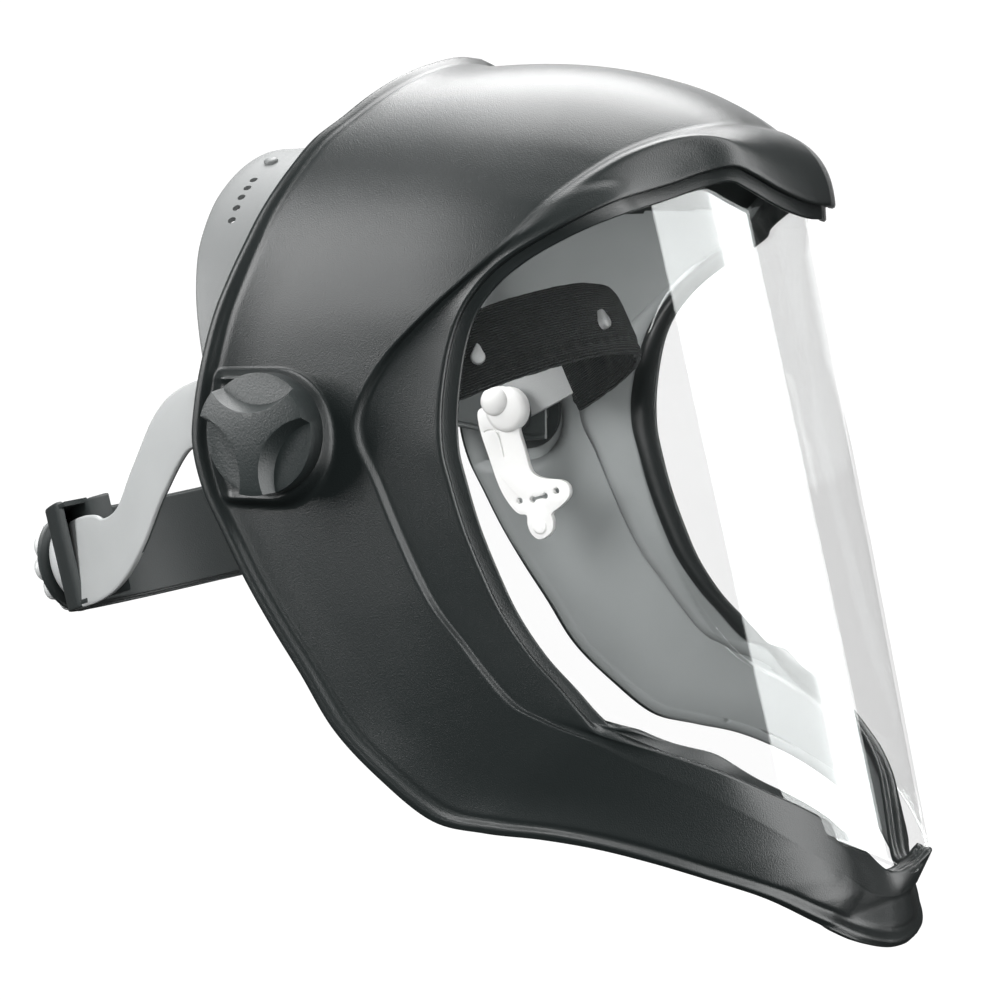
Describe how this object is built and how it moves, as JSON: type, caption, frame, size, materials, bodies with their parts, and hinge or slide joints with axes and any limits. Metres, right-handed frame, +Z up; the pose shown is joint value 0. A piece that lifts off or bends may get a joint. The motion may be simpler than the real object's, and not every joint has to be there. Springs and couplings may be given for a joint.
{
  "type": "face shield",
  "caption": "Head-worn face shield: black shell with brim and chin guard, clear bent visor, tension-knob pivots, ratchet headband, crown strap.",
  "frame": {"origin": "on the tilt axis, midway between the two pivots, where the wearer's head sits", "axes": "the wearer looks along -Y, the wearer's left is +X, up is +Z"},
  "size_m": [0.244, 0.3621, 0.3047],
  "materials": {
    "shell_black": "fine-grained matt black moulding",
    "visor_clear": "clear polished polycarbonate sheet",
    "knob_black": "satin black moulding",
    "brass": "turned",
    "screw_black": "satin black moulding",
    "washer_rubber": "matt rubber",
    "disc_grey": "satin dark grey moulding",
    "arm_white": "semi-gloss white moulding",
    "strap_grey": "satin grey flexible moulding",
    "knit_black": "ribbed knitted towelling",
    "housing_black": "satin black moulding",
    "gear_nylon": "natural nylon"
  },
  "bodies": {
    "headgear": {"brow_band": "strap_grey", "sweatband": "knit_black", "nape_strap_left": "strap_grey", "nape_strap_right": "strap_grey", "crown_strap_left": "strap_grey", "crown_strap_right": "strap_grey", "crown_rivets": "strap_grey", "ratchet_base": "housing_black", "ratchet_cover": "housing_black", "pivot_screw_left": "screw_black", "pivot_screw_right": "screw_black", "lobed_disc_left": "disc_grey", "lobed_disc_right": "disc_grey", "friction_washer_left": "washer_rubber", "friction_washer_right": "washer_rubber"},
    "shield": {"shell": "shell_black", "visor": "visor_clear"},
    "pivot_knob_left": {"pivot_knob_left": "knob_black", "knob_insert_left": "brass"},
    "pivot_knob_right": {"pivot_knob_right": "knob_black", "knob_insert_right": "brass"},
    "tilt_arm_left": {"tilt_arm_left": "arm_white"},
    "tilt_arm_right": {"tilt_arm_right": "arm_white"},
    "ratchet_knob": {"ratchet_knob": "knob_black", "ratchet_grip": "disc_grey", "ratchet_pinion": "gear_nylon", "click_pawl": "gear_nylon"}
  },
  "joints": [
    {"name": "shield_tilt", "type": "hinge", "parent": "headgear", "child": "shield", "pos_m": [0, 0, 0], "axis": [-1, 0, 0], "range_deg": [0, 85]},
    {"name": "pivot_knob_left_turn", "type": "hinge", "parent": "headgear", "child": "pivot_knob_left", "pos_m": [0.11, 0, 0], "axis": [-1, 0, 0], "range_deg": [0, 360]},
    {"name": "pivot_knob_right_turn", "type": "hinge", "parent": "headgear", "child": "pivot_knob_right", "pos_m": [-0.11, 0, 0], "axis": [1, 0, 0], "range_deg": [0, 360]},
    {"name": "tilt_arm_left_swing", "type": "hinge", "parent": "headgear", "child": "tilt_arm_left", "pos_m": [0.073, 0, 0], "axis": [-1, 0, 0], "range_deg": [-15, 15]},
    {"name": "tilt_arm_right_swing", "type": "hinge", "parent": "headgear", "child": "tilt_arm_right", "pos_m": [-0.073, 0, 0], "axis": [-1, 0, 0], "range_deg": [-15, 15]},
    {"name": "ratchet_knob_turn", "type": "hinge", "parent": "headgear", "child": "ratchet_knob", "pos_m": [0, 0.15015, -0.05783], "axis": [0, 0.9659, -0.2588], "range_deg": [-220, 220]}
  ]
}
